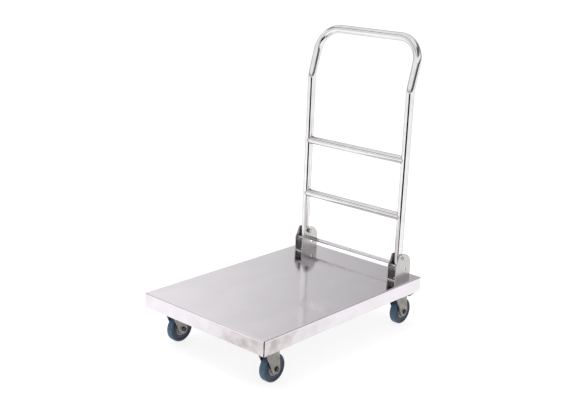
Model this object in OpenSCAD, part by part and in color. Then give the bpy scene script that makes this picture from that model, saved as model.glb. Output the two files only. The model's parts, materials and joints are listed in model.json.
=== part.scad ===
// Flat platform trolley: a folded sheet-steel deck on four casters, with a
// tubular push handle that folds down over the deck and locks upright.
// Millimetres, +Z up, floor at Z = 0. The handle end of the deck is at +Y.

/* [Deck] */
// Width of the deck, across the direction of travel
deck_w = 480; // [400:5:600]
// Length of the deck, along the direction of travel
deck_l = 725; // [640:5:900]
// Thickness of the deck sheet
sheet_t = 1.5; // [1:0.1:2]
// Depth of the folded rim below the deck surface
rim_h = 45; // [35:1:55]
// Outside radius of the folded top edge
fold_r = 4; // [3:0.5:6]
// Width of the lip turned inwards along the bottom of the rim
lip_w = 12; // [8:1:16]
// Distance from each end of a rim wall to the corner, which leaves an open slit
corner_gap = 2.5; // [1.5:0.5:4]

/* [Underframe] */
// Width of each cross channel along the deck
channel_w = 90; // [90:1:110]
// Wall thickness of the cross channels and the centre rib
channel_t = 2; // [1.5:0.1:2.5]
// Width of the centre rib
rib_w = 60; // [40:1:100]
// Height of the centre rib
rib_h = 25; // [15:1:35]

/* [Casters] */
// Diameter of the wheels
wheel_d = 84; // [75:1:100]
// Width of the tyres
tyre_w = 24; // [20:1:28]
// Diameter of the hub that the tyre is moulded on
hub_d = 44; // [40:1:52]
// Distance from the side of the deck to the caster centres
caster_side = 52; // [50:1:70]
// Distance from the front end of the deck to the fixed casters' plate centres
front_inset = 67.5; // [48:0.5:100]
// Distance from the handle end of the deck to the swivel axes
rear_inset = 53.5; // [48:0.5:80]
// Horizontal distance from the swivel axis back to the wheel axle
trail = 24; // [18:1:30]
// Space between the top of the tyre and the crown of a swivel fork
fork_top_gap = 19.5; // [18:0.5:25]
// Diameter of the wheel axle bolts
axle_d = 8; // [6:1:10]
// Thickness of the fork steel
fork_t = 3; // [2.5:0.1:3.5]
// Thickness of the caster plates
plate_t = 3; // [2.5:0.1:4]
// Height of the ball race between plate and fork crown
race_h = 7.5; // [7:0.5:9]
// Diameter of the bearing balls
ball_d = 5.5; // [5:0.1:6]
// Diameter of the caster plate bolts
plate_bolt_d = 8; // [6:1:9]

/* [Handle] */
// Diameter of the handle tube
tube_d = 25; // [22:1:28]
// Wall thickness of the handle tube and the rungs
tube_t = 1.5; // [1.2:0.1:2]
// Distance from each side of the deck to the centre line of that leg
leg_side_inset = 48.5; // [44:0.5:100]
// Distance from the handle end of the deck to the handle legs
leg_inset = 65.8; // [60:0.2:90]
// Height of the bend in the handle legs above the deck
kink_z = 589; // [520:1:650]
// Backward angle of the handle above that bend
kink_angle = 15.7; // [2:0.1:25]
// Length from that bend to the centre line of the top bar
top_run = 157; // [125:1:220]
// Centre-line radius of the two top corners
corner_r = 76; // [50:1:90]
// Centre-line radius of the bend in the legs
kink_r = 80; // [60:1:120]
// Diameter of the two rungs
rung_d = 24; // [16:1:24]
// Height of the upper rung above the deck
upper_rung_z = 377.5; // [300:0.5:450]
// Height of the lower rung above the deck
lower_rung_z = 199; // [150:1:260]

/* [Handle brackets] */
// Thickness of the bracket steel
bracket_t = 3; // [2:0.5:4]
// Height of the bracket cheeks above the deck
bracket_h = 80; // [80:1:90]
// Reach of the bracket in front of the leg
bracket_front = 30; // [28:1:40]
// Reach of the bracket behind the leg
bracket_back = 46; // [44:1:54]
// Clearance between the leg and each cheek
leg_gap = 1; // [0.5:0.1:2]
// Height of the fold pivot above the deck
pivot_z = 68; // [66:1:70]
// Diameter of the pivot bolts
pivot_d = 8; // [6:1:10]
// Length of the leg below the pivot
leg_tail = 28; // [26:1:29]
// Diameter of the lock rod between the brackets
lock_d = 12; // [10:1:13]
// Diameter of the turned ends of the lock rod
lock_end_d = 7; // [6:1:8]
// Travel of the lock rod when it is pressed down
lock_travel = 8; // [6:1:9]
// Diameter of the stop pins in front of the legs
stop_d = 8; // [6:1:9]

/* [Hidden] */
$fn = 64;

// Radial clearance of a turning fit, and of a bolt in a drilled hole
run_gap = 0.05;
bolt_gap = 0.3;
// Overlap of a cutting shape past the faces that it cuts
cut = 1;

// Heights from the floor up
crown_z = wheel_d + fork_top_gap;
plate_z = crown_z + fork_t + race_h;
caster_h = plate_z + plate_t;
deck_z = caster_h + rim_h;
under_z = deck_z - sheet_t;
channel_h = rim_h - sheet_t;

// Foot brakes of the swivel casters, measured from the swivel axis
brake_pin_y = 2;
brake_pin_d = 5;
brake_boss_r = 5;
brake_pin_z = wheel_d + 9;
brake_t = 2.5;
brake_lift = 4;
brake_side_gap = 1.5;
brake_bend_y = 44;
brake_tread_l = 34;
brake_tread_w = 40;
brake_angle = 12;
brake_shoe = [18, 10];
brake_shoe_gap = 2.6;

// The swivel wheels or their brake pedals stick out past the handle end of the
// deck, so the deck sits forward of the middle by half of that overhang
brake_reach = brake_bend_y + brake_tread_l * cos(brake_angle);
overhang = max(0, max(brake_reach, trail + wheel_d / 2) - rear_inset);
deck_y = -overhang / 2;
front_y = deck_y - deck_l / 2;
back_y = deck_y + deck_l / 2;

// Places of the casters and of the handle legs
caster_x = deck_w / 2 - caster_side;
front_caster_y = front_y + front_inset;
rear_caster_y = back_y - rear_inset;
leg_x = deck_w / 2 - leg_side_inset;
leg_y = back_y - leg_inset;

// Cross channels end where the deck's edges start to fold, and their corners are bevelled
channel_run = deck_w - 2 * fold_r;
channel_side_gap = 1.5;
channel_bevel = 16;
channel_lip = 12;
king_hole_d = 24;

// Caster plates, forks and wheels
plate_size = [68, 86];
bolt_span = [52, 66];
fork_side_gap = 2.5;
fork_in = tyre_w / 2 + fork_side_gap;
fork_out = fork_in + fork_t;
fork_end_r = 16;
fork_leg_front = 27;
fork_leg_back = 32;
brake_half_w = fork_in - brake_side_gap;
crown_r = 27;
king_d = 12;
king_head_r = 9;
king_head_h = 2.5;
race_pitch_r = 18;
race_in_r = 13;
race_out_r = 23.5;
ball_gap = 0.1;
ball_count = 12;
race_z = crown_z + fork_t + race_h / 2;
race_split = 1.5;
bush_r = 8;
bush_half = fork_in - 1;
bush_proud = 0.5;
hub_boss_r = 12;
hub_rim_step = 2;
hub_rim_t = 4;
hub_web_t = 8;
tyre_shoulder_r = 5;
tyre_groove = 1;

// Bends are a hair fatter than the straight tubes, which run a little into them
bend_swell = 0.05;
bend_lap = 0.1;

// Hexagon sizes as multiples of the thread diameter
hex_r = 0.94;
head_h = 0.6;
nut_h = 0.8;

// Handle fold and lock
tube_r = tube_d / 2;
cheek_in = tube_r + leg_gap;
cheek_out = cheek_in + bracket_t;
cheek_round = 40;
cheek_nose_y = 13;
cheek_nose_z = 45;
pivot_at = deck_z + pivot_z;
pivot_head = 0.75;
bush_wall = 2.5;
bush_out_r = pivot_d / 2 + run_gap + bush_wall;
bush_side_gap = 0.3;
stop_gap = 0.3;
stop_y = leg_y - tube_r - stop_gap - stop_d / 2;
stop_z = pivot_at - leg_tail + stop_d / 2;
lock_gap = 0.8;
lock_drop = leg_tail + 4;
// The rod lies just outside the circle that the leg's lower corner sweeps
lock_reach = norm([tube_r, leg_tail]) + lock_gap + lock_d / 2;
lock_y = leg_y + sqrt(lock_reach * lock_reach - lock_drop * lock_drop);
lock_z = pivot_at - lock_drop;
lock_side_gap = 0.15;
lock_end_gap = 0.5;
plug_t = 1.5;
plug_stem = 9;
plug_gap = 0.05;
spring_wire = 1.4;
spring_r = 4;
spring_turns = 6;
spring_steps = 16;
spring_sides = 8;
seat_gap = 0.05;
screw_d = 8;
screw_head_h = 4;
screw_edge = 11;
// The screws pass between the lips of the rear channel, clear of their nuts
screw_min_y = rear_caster_y - channel_w / 2 + channel_t + channel_lip + screw_d * hex_r + 1;
screw_ys = [max(leg_y - bracket_front + screw_edge, screw_min_y),
            leg_y + bracket_back - screw_edge];

steel = [0.78, 0.79, 0.81];
satin = [0.66, 0.67, 0.69];
zinc = [0.62, 0.63, 0.65];
navy = [0.10, 0.20, 0.34];
dark = [0.22, 0.22, 0.24];

// A cylinder of radius r along X, from x0 to x1
module rod_x(r, x0, x1, sides = 64) {
    translate([x0, 0, 0]) rotate([0, 90, 0]) cylinder(r = r, h = x1 - x0, $fn = sides);
}

// A hexagon nut with its lower face at the origin, bored for thread diameter d
module hex_nut(d) {
    difference() {
        cylinder(r = d * hex_r, h = d * nut_h, $fn = 6);
        translate([0, 0, -cut]) cylinder(d = d + 2 * run_gap, h = d * nut_h + 2 * cut);
    }
}

// A domed screw head of radius r and height h, its flat face at the origin
module button_head(r, h) {
    ball = (r * r + h * h) / (2 * h);
    intersection() {
        translate([0, 0, h - ball]) sphere(r = ball);
        cylinder(r = r + cut, h = h + cut);
    }
}

// Puts what is drawn for the right-hand side (+X) on the side asked for
module on_side(side) {
    mirror([side < 0 ? 1 : 0, 0, 0]) children();
}

// ---- Deck ----

// Profile of a folded edge, with the bend starting at x = 0 and y = 0
module edge_profile() {
    difference() {
        intersection() {
            translate([0, -fold_r]) circle(r = fold_r);
            translate([0, -fold_r]) square(fold_r);
        }
        translate([0, -fold_r]) circle(r = fold_r - sheet_t);
    }
    translate([fold_r - sheet_t, -rim_h]) square([sheet_t, rim_h - fold_r]);
}

// One folded side of length "run", its outer face at x = "out"
module rim_side(out, run) {
    translate([out - fold_r, 0, 0]) rotate([90, 0, 0])
        translate([0, 0, -run / 2 + corner_gap])
            linear_extrude(run - 2 * corner_gap) edge_profile();
    lip_run = run - 2 * (lip_w + corner_gap);
    translate([out - lip_w, -lip_run / 2, -rim_h]) cube([lip_w, lip_run, sheet_t]);
}

module deck_tray() color(steel) {
    flat = [deck_w - 2 * fold_r, deck_l - 2 * fold_r, sheet_t];
    difference() {
        translate([0, deck_y, deck_z]) {
            translate([0, 0, -sheet_t / 2]) cube(flat, center = true);
            for (turn = [0, 180]) {
                rotate([0, 0, turn]) rim_side(deck_w / 2, deck_l);
                rotate([0, 0, turn + 90]) rim_side(deck_l / 2, deck_w);
            }
        }
        // The lips are notched where the cross channels run under the rim
        for (y = [front_caster_y, rear_caster_y])
            translate([sheet_t - deck_w / 2, y - channel_w / 2 - channel_side_gap,
                       deck_z - rim_h - cut])
                cube([deck_w - 2 * sheet_t, channel_w + 2 * channel_side_gap, sheet_t + 2 * cut]);
        for (x = [-leg_x, leg_x], y = screw_ys)
            translate([x, y, under_z - cut])
                cylinder(d = screw_d + 2 * bolt_gap, h = sheet_t + 2 * cut);
    }
}

// ---- Underframe ----

// Lipped C section, open at the top, standing on y = 0
module channel_profile() {
    inner_w = channel_w - 2 * channel_t;
    difference() {
        translate([-channel_w / 2, 0]) square([channel_w, channel_h]);
        translate([-inner_w / 2, channel_t]) square([inner_w, channel_h - 2 * channel_t]);
        translate([-inner_w / 2 + channel_lip, channel_t])
            square([inner_w - 2 * channel_lip, channel_h]);
    }
}

// Cross channel at y, with bevelled lower corners and the caster holes
module cross_channel(y, king_hole) color(satin) {
    difference() {
        translate([-channel_run / 2, y, caster_h]) rotate([90, 0, 90])
            linear_extrude(channel_run) channel_profile();
        for (side = [-1, 1]) on_side(side)
            translate([channel_run / 2, y + channel_w / 2 + cut, caster_h]) rotate([90, 0, 0])
                linear_extrude(channel_w + 2 * cut)
                    polygon([[-channel_bevel, 0], [-channel_bevel, -cut], [cut, -cut],
                             [cut, channel_bevel], [0, channel_bevel]]);
        for (side = [-1, 1]) translate([side * caster_x, y, caster_h - cut]) {
            at_plate_holes() cylinder(d = plate_bolt_d + 2 * bolt_gap, h = channel_t + 2 * cut);
            if (king_hole) cylinder(d = king_hole_d, h = channel_t + 2 * cut);
        }
    }
}

module front_channel() cross_channel(front_caster_y, false);
module rear_channel() cross_channel(rear_caster_y, true);

// Rib welded under the middle of the deck, between the cross channels
module centre_rib() color(satin) {
    from = front_caster_y + channel_w / 2 + channel_side_gap / 2;
    to = rear_caster_y - channel_w / 2 - channel_side_gap / 2;
    translate([0, to, under_z - rib_h]) rotate([90, 0, 0]) linear_extrude(to - from)
        difference() {
            translate([-rib_w / 2, 0]) square([rib_w, rib_h]);
            translate([-rib_w / 2 + channel_t, channel_t])
                square([rib_w - 2 * channel_t, rib_h]);
        }
}

// ---- Handle brackets ----

// Outline of a bracket cheek, with y forward of the leg negative
module cheek_outline() {
    round_y = bracket_back - cheek_round;
    round_z = bracket_h - cheek_round;
    translate([round_y, round_z]) intersection() {
        circle(r = cheek_round, $fn = 128);
        square(cheek_round);
    }
    polygon([[-bracket_front, 0], [-bracket_front, cheek_nose_z], [-cheek_nose_y, bracket_h],
             [round_y, bracket_h], [round_y, round_z], [bracket_back, round_z],
             [bracket_back, 0]]);
}

// Upright slot through a cheek, for a rod of diameter d that travels down
module lock_slot(d, x0, x1) {
    r = d / 2 + run_gap;
    for (z = [lock_z - lock_travel, lock_z]) translate([0, lock_y, z]) rod_x(r, x0, x1);
    translate([x0, lock_y - r, lock_z - lock_travel]) cube([x1 - x0, 2 * r, lock_travel]);
}

// U-shaped bracket: a base plate and two cheeks, the inner one nearer to X = 0
module bracket(side) color(satin) on_side(side) {
    difference() {
        translate([leg_x, leg_y, deck_z]) {
            translate([-cheek_out, -bracket_front, 0])
                cube([2 * cheek_out, bracket_front + bracket_back, bracket_t]);
            for (x = [-cheek_out, cheek_in])
                translate([x, 0, 0]) rotate([90, 0, 90])
                    linear_extrude(bracket_t) cheek_outline();
        }
        inner = leg_x - cheek_out - cut;
        outer = leg_x + cheek_out + cut;
        translate([0, leg_y, pivot_at]) rod_x(pivot_d / 2 + run_gap, inner, outer);
        translate([0, stop_y, stop_z]) rod_x(stop_d / 2 + run_gap, inner, outer);
        lock_slot(lock_d, inner, leg_x);
        lock_slot(lock_end_d, leg_x, outer);
        for (y = screw_ys) translate([leg_x, y, deck_z - cut])
            cylinder(d = screw_d + 2 * bolt_gap, h = bracket_t + 2 * cut);
    }
}

module bracket_left() bracket(-1);
module bracket_right() bracket(1);

// Screws that hold the brackets down, with their nuts under the deck
module bracket_screws() color(steel) {
    bottom = under_z - screw_d * nut_h;
    for (x = [-leg_x, leg_x], y = screw_ys) translate([x, y, 0]) {
        translate([0, 0, bottom]) cylinder(d = screw_d, h = deck_z + bracket_t - bottom);
        translate([0, 0, deck_z + bracket_t]) button_head(screw_d * hex_r, screw_head_h);
    }
}

module bracket_nuts() color(zinc) {
    for (x = [-leg_x, leg_x], y = screw_ys)
        translate([x, y, under_z - screw_d * nut_h]) hex_nut(screw_d);
}

// Fold pivots: a button-head bolt from the outside and a nut on the inner cheek
module pivot_bolts() color(steel) {
    end = cheek_out + pivot_d * nut_h;
    for (side = [-1, 1]) on_side(side) translate([leg_x, leg_y, pivot_at]) {
        rod_x(pivot_d / 2, -end, cheek_out);
        translate([cheek_out, 0, 0]) rotate([0, 90, 0])
            button_head(pivot_d * pivot_head, pivot_d / 2);
    }
}

module pivot_nuts() color(zinc) {
    for (side = [-1, 1]) on_side(side)
        translate([leg_x - cheek_out, leg_y, pivot_at]) rotate([0, -90, 0]) hex_nut(pivot_d);
}

// Fixed pins that stop the legs from tipping back past upright
module stop_pins() color(steel) {
    for (x = [-leg_x, leg_x])
        translate([x, stop_y, stop_z]) rod_x(stop_d / 2, -cheek_out, cheek_out);
}

// Rod behind the lower ends of the legs, pressed down by foot to free the handle
module lock_rod() color(steel) {
    body_end = leg_x + cheek_in - lock_side_gap;
    tip = leg_x + cheek_out - lock_end_gap;
    translate([0, lock_y, lock_z]) {
        rod_x(lock_d / 2, -body_end, body_end);
        rod_x(lock_end_d / 2, -tip, tip);
    }
}

// Centre of the spring wire at t from 0 to 1, in a spring of free height h
function coil_centre(t, h) =
    [spring_r * cos(360 * spring_turns * t), spring_r * sin(360 * spring_turns * t),
     spring_wire / 2 + (h - spring_wire) * t];

// One point of the ring round the wire at t, at angle a from the outward direction
function coil_skin(t, a, h) =
    coil_centre(t, h) + spring_wire / 2 *
    [cos(a) * cos(360 * spring_turns * t), cos(a) * sin(360 * spring_turns * t), sin(a)];

// Compression spring of height h, standing on the origin
module coil_spring(h) {
    rings = spring_turns * spring_steps;
    points = [for (i = [0:rings], j = [0:spring_sides - 1])
              coil_skin(i / rings, 360 * j / spring_sides, h)];
    function at(i, j) = i * spring_sides + j % spring_sides;
    walls = [for (i = [0:rings - 1], j = [0:spring_sides - 1])
             [at(i, j), at(i, j + 1), at(i + 1, j + 1), at(i + 1, j)]];
    first = [for (j = [spring_sides - 1:-1:0]) at(0, j)];
    last = [for (j = [0:spring_sides - 1]) at(rings, j)];
    polyhedron(points, concat(walls, [first, last]));
}

// Springs under the rod, inside the brackets
module lock_springs() color(dark) {
    seat = deck_z + bracket_t + seat_gap;
    for (x = [-leg_x, leg_x]) translate([x, lock_y, seat])
        coil_spring(lock_z - lock_d / 2 - seat_gap - seat);
}

// ---- Handle ----

// Half of the handle's path with radius r, from the leg's lower end to the middle
module half_path(r, low) {
    tangent = kink_r * tan(kink_angle / 2);
    bottom = deck_z + pivot_z - leg_tail + plug_t - low;
    bend_z = deck_z + kink_z - tangent;
    translate([leg_x, leg_y, bottom]) cylinder(r = r, h = bend_z - bottom + bend_lap);
    translate([leg_x, leg_y + kink_r, bend_z]) rotate([90, 0, -90])
        rotate_extrude(angle = kink_angle) translate([kink_r, 0]) circle(r = r + bend_swell);
    translate([0, leg_y, deck_z + kink_z]) rotate([-kink_angle, 0, 0]) {
        translate([leg_x, 0, tangent - bend_lap])
            cylinder(r = r, h = top_run - corner_r - tangent + 2 * bend_lap);
        translate([leg_x - corner_r, 0, top_run - corner_r]) rotate([90, 0, 0])
            rotate_extrude(angle = 90) translate([corner_r, 0]) circle(r = r + bend_swell);
    }
}

// The whole path, legs and top bar, with radius r
module handle_path(r, low) {
    half_bar = leg_x - corner_r + bend_lap;
    for (side = [-1, 1]) on_side(side) half_path(r, low);
    translate([0, leg_y, deck_z + kink_z]) rotate([-kink_angle, 0, 0])
        translate([0, 0, top_run]) rod_x(r, -half_bar, half_bar);
}

module handle_tube() color(steel) {
    difference() {
        handle_path(tube_r, 0);
        handle_path(tube_r - tube_t, cut);
        for (x = [-leg_x, leg_x]) translate([x, leg_y, pivot_at])
            rod_x(bush_out_r, -tube_r - cut, tube_r + cut);
    }
}

// Rung at height z above the deck, its ends shaped to sit against the legs
module rung(z) color(steel) {
    translate([0, leg_y, deck_z + z]) difference() {
        rod_x(rung_d / 2, -leg_x, leg_x);
        rod_x(rung_d / 2 - tube_t, -leg_x - cut, leg_x + cut);
        for (x = [-leg_x, leg_x])
            translate([x, 0, -rung_d]) cylinder(r = tube_r, h = 2 * rung_d);
    }
}

module upper_rung() rung(upper_rung_z);
module lower_rung() rung(lower_rung_z);

// Bushes welded across the legs, which turn on the pivot bolts
module pivot_bushes() color(zinc) {
    half = cheek_in - bush_side_gap;
    for (x = [-leg_x, leg_x]) translate([x, leg_y, pivot_at]) difference() {
        rod_x(bush_out_r, -half, half);
        rod_x(pivot_d / 2 + run_gap, -half - cut, half + cut);
    }
}

// Plugs that close the lower ends of the legs
module leg_plugs() color(dark) {
    for (x = [-leg_x, leg_x]) translate([x, leg_y, pivot_at - leg_tail]) {
        cylinder(r = tube_r, h = plug_t);
        cylinder(r = tube_r - tube_t - plug_gap, h = plug_t + plug_stem);
    }
}

// ---- Casters: drawn with the plate centre at X = Y = 0 and the floor at Z = 0 ----

module at_front(side) translate([side * caster_x, front_caster_y, 0]) on_side(side) children();
module at_rear(side) translate([side * caster_x, rear_caster_y, 0]) on_side(side) children();

module at_plate_holes() {
    for (x = [-1, 1], y = [-1, 1])
        translate([x * bolt_span[0] / 2, y * bolt_span[1] / 2, 0]) children();
}

module at_axle() translate([0, trail, wheel_d / 2]) children();

module at_brake_pin() translate([0, brake_pin_y, brake_pin_z]) children();

// Groove that the bearing balls run in
module ball_groove() {
    translate([0, 0, race_z]) rotate_extrude()
        translate([race_pitch_r, 0]) circle(d = ball_d + 2 * ball_gap);
}

// Race ring from z0 to z1, with its half of the groove
module race_ring(z0, z1) {
    difference() {
        translate([0, 0, z0]) cylinder(r = race_out_r, h = z1 - z0);
        translate([0, 0, z0 - cut]) cylinder(r = race_in_r, h = z1 - z0 + 2 * cut);
        ball_groove();
    }
}

module caster_plate(swivel) color(zinc) {
    difference() {
        translate([-plate_size[0] / 2, -plate_size[1] / 2, plate_z])
            cube([plate_size[0], plate_size[1], plate_t]);
        at_plate_holes() translate([0, 0, plate_z - cut])
            cylinder(d = plate_bolt_d + 2 * bolt_gap, h = plate_t + 2 * cut);
        if (swivel) translate([0, 0, plate_z - cut])
            cylinder(d = king_d + 2 * run_gap, h = plate_t + 2 * cut);
    }
    if (swivel) race_ring(race_z + race_split / 2, plate_z);
}

// Side outline of a fork leg whose top edge is at height "top"
module leg_outline(top) {
    hull() {
        translate([trail, wheel_d / 2]) circle(r = fork_end_r, $fn = 48);
        translate([-fork_leg_front, top - fork_t])
            square([fork_leg_front + fork_leg_back, fork_t]);
    }
}

// Fork with two legs and a crown; a swivel fork also has the lower race
module caster_fork(swivel) color(zinc) {
    top = swivel ? crown_z + fork_t : plate_z;
    difference() {
        union() {
            for (x = [-fork_out, fork_in]) translate([x, 0, 0]) rotate([90, 0, 90])
                linear_extrude(fork_t) leg_outline(top);
            translate([-fork_out, -fork_leg_front, top - fork_t])
                cube([2 * fork_out, fork_leg_front + fork_leg_back, fork_t]);
            if (swivel) translate([0, 0, crown_z]) cylinder(r = crown_r, h = fork_t);
        }
        at_axle() rod_x(axle_d / 2 + run_gap, -fork_out - cut, fork_out + cut);
        if (swivel) {
            translate([0, 0, crown_z - cut])
                cylinder(d = king_d + 2 * run_gap, h = fork_t + 2 * cut);
            at_brake_pin()
                rod_x(brake_pin_d / 2 + run_gap, -fork_out - cut, fork_out + cut);
        }
    }
    if (swivel) race_ring(top, race_z - race_split / 2);
}

// Foot brake: a lever between the fork legs, with a shoe above the tyre and a tread
module brake_pedal() color(zinc) {
    bottom = wheel_d + brake_lift;
    difference() {
        union() {
            at_brake_pin() rod_x(brake_boss_r, -brake_half_w, brake_half_w);
            translate([-brake_half_w, brake_pin_y, bottom])
                cube([2 * brake_half_w, brake_bend_y - brake_pin_y, brake_t]);
            translate([-brake_shoe[0] / 2, trail - brake_shoe[1] / 2, wheel_d + brake_shoe_gap])
                cube([brake_shoe[0], brake_shoe[1], brake_lift - brake_shoe_gap + brake_t / 2]);
        }
        at_brake_pin()
            rod_x(brake_pin_d / 2 + run_gap, -brake_half_w - cut, brake_half_w + cut);
    }
    translate([-brake_tread_w / 2, brake_bend_y, bottom]) rotate([brake_angle, 0, 0])
        cube([brake_tread_w, brake_tread_l, brake_t]);
}

module brake_pin() color(steel) {
    at_brake_pin() rod_x(brake_pin_d / 2, -fork_out, fork_out);
}

module race_balls() color(steel) {
    for (i = [0:ball_count - 1]) rotate([0, 0, 360 * i / ball_count])
        translate([race_pitch_r, 0, race_z]) sphere(d = ball_d);
}

// Riveted swivel pin, with a head under the crown and one above the plate
module kingpin() color(steel) {
    top = caster_h + run_gap;
    translate([0, 0, crown_z - king_head_h]) {
        cylinder(r = king_head_r, h = king_head_h);
        cylinder(d = king_d, h = top + king_head_h - crown_z + king_head_h);
    }
    translate([0, 0, top]) cylinder(r = king_head_r, h = king_head_h);
}

// Wheel centre: boss, web and rim as one moulding
module wheel_hub() color(zinc) {
    rim_r = hub_d / 2;
    rim_half = tyre_w / 2 - hub_rim_step;
    boss_half = bush_half - bush_proud;
    at_axle() rotate([0, 90, 0]) rotate_extrude() {
        translate([bush_r, -boss_half]) square([hub_boss_r - bush_r, 2 * boss_half]);
        translate([bush_r, -hub_web_t / 2]) square([rim_r - bush_r, hub_web_t]);
        translate([rim_r - hub_rim_t, -rim_half]) square([hub_rim_t, 2 * rim_half]);
    }
}

// Tyre with round shoulders and a shallow groove in each side
module wheel_tyre() color(navy) {
    half = tyre_w / 2;
    inner = hub_d / 2;
    outer = wheel_d / 2;
    shoulder = outer - tyre_shoulder_r;
    at_axle() rotate([0, 90, 0]) rotate_extrude() difference() {
        union() {
            translate([inner, -half]) square([shoulder - inner, tyre_w]);
            translate([inner, -half + tyre_shoulder_r])
                square([outer - inner, tyre_w - 2 * tyre_shoulder_r]);
            for (z = [-1, 1]) translate([shoulder, z * (half - tyre_shoulder_r)])
                circle(r = tyre_shoulder_r);
        }
        for (z = [-1, 1]) translate([(inner + shoulder) / 2, z * half])
            circle(r = tyre_groove);
    }
}

// Bearing bush pressed into the hub, which turns on the axle bolt
module wheel_bush() color(dark) {
    at_axle() rotate([0, 90, 0]) rotate_extrude()
        translate([axle_d / 2 + run_gap, -bush_half])
            square([bush_r - axle_d / 2 - run_gap, 2 * bush_half]);
}

module axle_bolt() color(dark) {
    at_axle() {
        rod_x(axle_d / 2, -fork_out - axle_d * nut_h, fork_out);
        rod_x(axle_d * hex_r, fork_out, fork_out + axle_d * head_h, 6);
    }
}

module axle_nut() color(dark) {
    at_axle() translate([-fork_out, 0, 0]) rotate([0, -90, 0]) hex_nut(axle_d);
}

// Bolts of all four caster plates: heads inside the channels, nuts under the plates
module at_all_plate_holes() {
    for (x = [-caster_x, caster_x], y = [front_caster_y, rear_caster_y])
        translate([x, y, 0]) at_plate_holes() children();
}

module caster_bolts() color(steel) {
    nut_z = plate_z - plate_bolt_d * nut_h;
    head_z = caster_h + channel_t;
    at_all_plate_holes() {
        translate([0, 0, nut_z]) cylinder(d = plate_bolt_d, h = head_z - nut_z);
        translate([0, 0, head_z])
            cylinder(r = plate_bolt_d * hex_r, h = plate_bolt_d * head_h, $fn = 6);
    }
}

module caster_nuts() color(zinc) {
    at_all_plate_holes()
        translate([0, 0, plate_z - plate_bolt_d * nut_h]) hex_nut(plate_bolt_d);
}

deck_tray();
front_channel();
rear_channel();
centre_rib();
bracket_left();
bracket_right();
bracket_screws();
bracket_nuts();
pivot_bolts();
pivot_nuts();
stop_pins();
lock_rod();
lock_springs();
handle_tube();
upper_rung();
lower_rung();
pivot_bushes();
leg_plugs();
caster_bolts();
caster_nuts();
at_front(-1) caster_plate(false);  // front_left_plate
at_front(-1) caster_fork(false);  // front_left_fork
at_front(-1) wheel_hub();  // front_left_hub
at_front(-1) wheel_tyre();  // front_left_tyre
at_front(-1) wheel_bush();  // front_left_bush
at_front(-1) axle_bolt();  // front_left_axle_bolt
at_front(-1) axle_nut();  // front_left_axle_nut
at_front(1) caster_plate(false);  // front_right_plate
at_front(1) caster_fork(false);  // front_right_fork
at_front(1) wheel_hub();  // front_right_hub
at_front(1) wheel_tyre();  // front_right_tyre
at_front(1) wheel_bush();  // front_right_bush
at_front(1) axle_bolt();  // front_right_axle_bolt
at_front(1) axle_nut();  // front_right_axle_nut
at_rear(-1) caster_plate(true);  // rear_left_plate
at_rear(-1) race_balls();  // rear_left_balls
at_rear(-1) kingpin();  // rear_left_kingpin
at_rear(-1) brake_pedal();  // rear_left_brake
at_rear(-1) brake_pin();  // rear_left_brake_pin
at_rear(-1) caster_fork(true);  // rear_left_fork
at_rear(-1) wheel_hub();  // rear_left_hub
at_rear(-1) wheel_tyre();  // rear_left_tyre
at_rear(-1) wheel_bush();  // rear_left_bush
at_rear(-1) axle_bolt();  // rear_left_axle_bolt
at_rear(-1) axle_nut();  // rear_left_axle_nut
at_rear(1) caster_plate(true);  // rear_right_plate
at_rear(1) race_balls();  // rear_right_balls
at_rear(1) kingpin();  // rear_right_kingpin
at_rear(1) brake_pedal();  // rear_right_brake
at_rear(1) brake_pin();  // rear_right_brake_pin
at_rear(1) caster_fork(true);  // rear_right_fork
at_rear(1) wheel_hub();  // rear_right_hub
at_rear(1) wheel_tyre();  // rear_right_tyre
at_rear(1) wheel_bush();  // rear_right_bush
at_rear(1) axle_bolt();  // rear_right_axle_bolt
at_rear(1) axle_nut();  // rear_right_axle_nut
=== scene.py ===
"""Looks of a flat steel platform trolley with a fold-down push handle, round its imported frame.

Metres, +Z up, floor at Z = 0, handle end at +Y. Every shape is a skin over rings of points:
a profile turned about an axis, or a section carried along a path.
"""

import json
import math

import bmesh
import bpy
import numpy as np
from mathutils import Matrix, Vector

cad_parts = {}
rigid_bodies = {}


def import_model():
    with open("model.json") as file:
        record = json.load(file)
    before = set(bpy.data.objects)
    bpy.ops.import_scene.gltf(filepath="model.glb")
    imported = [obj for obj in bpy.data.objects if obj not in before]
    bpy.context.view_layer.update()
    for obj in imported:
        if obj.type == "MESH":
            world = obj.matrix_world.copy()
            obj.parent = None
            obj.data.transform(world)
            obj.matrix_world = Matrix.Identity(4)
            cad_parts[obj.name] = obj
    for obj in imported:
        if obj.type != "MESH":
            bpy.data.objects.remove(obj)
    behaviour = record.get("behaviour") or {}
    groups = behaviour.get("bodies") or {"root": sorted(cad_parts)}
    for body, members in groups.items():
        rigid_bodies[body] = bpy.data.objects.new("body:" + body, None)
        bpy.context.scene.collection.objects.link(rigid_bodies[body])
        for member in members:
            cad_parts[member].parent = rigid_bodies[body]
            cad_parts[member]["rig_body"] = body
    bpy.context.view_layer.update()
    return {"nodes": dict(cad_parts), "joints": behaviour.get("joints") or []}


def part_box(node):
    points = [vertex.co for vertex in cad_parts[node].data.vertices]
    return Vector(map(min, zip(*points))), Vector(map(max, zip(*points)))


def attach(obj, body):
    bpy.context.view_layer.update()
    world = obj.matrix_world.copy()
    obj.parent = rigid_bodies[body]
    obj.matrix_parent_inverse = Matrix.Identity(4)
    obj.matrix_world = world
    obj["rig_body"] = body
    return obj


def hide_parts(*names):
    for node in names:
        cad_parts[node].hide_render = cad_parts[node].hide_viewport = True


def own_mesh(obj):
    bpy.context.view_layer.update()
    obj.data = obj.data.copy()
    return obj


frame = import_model()
MM = 0.001
SIDES = {"left": -1, "right": 1}

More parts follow.
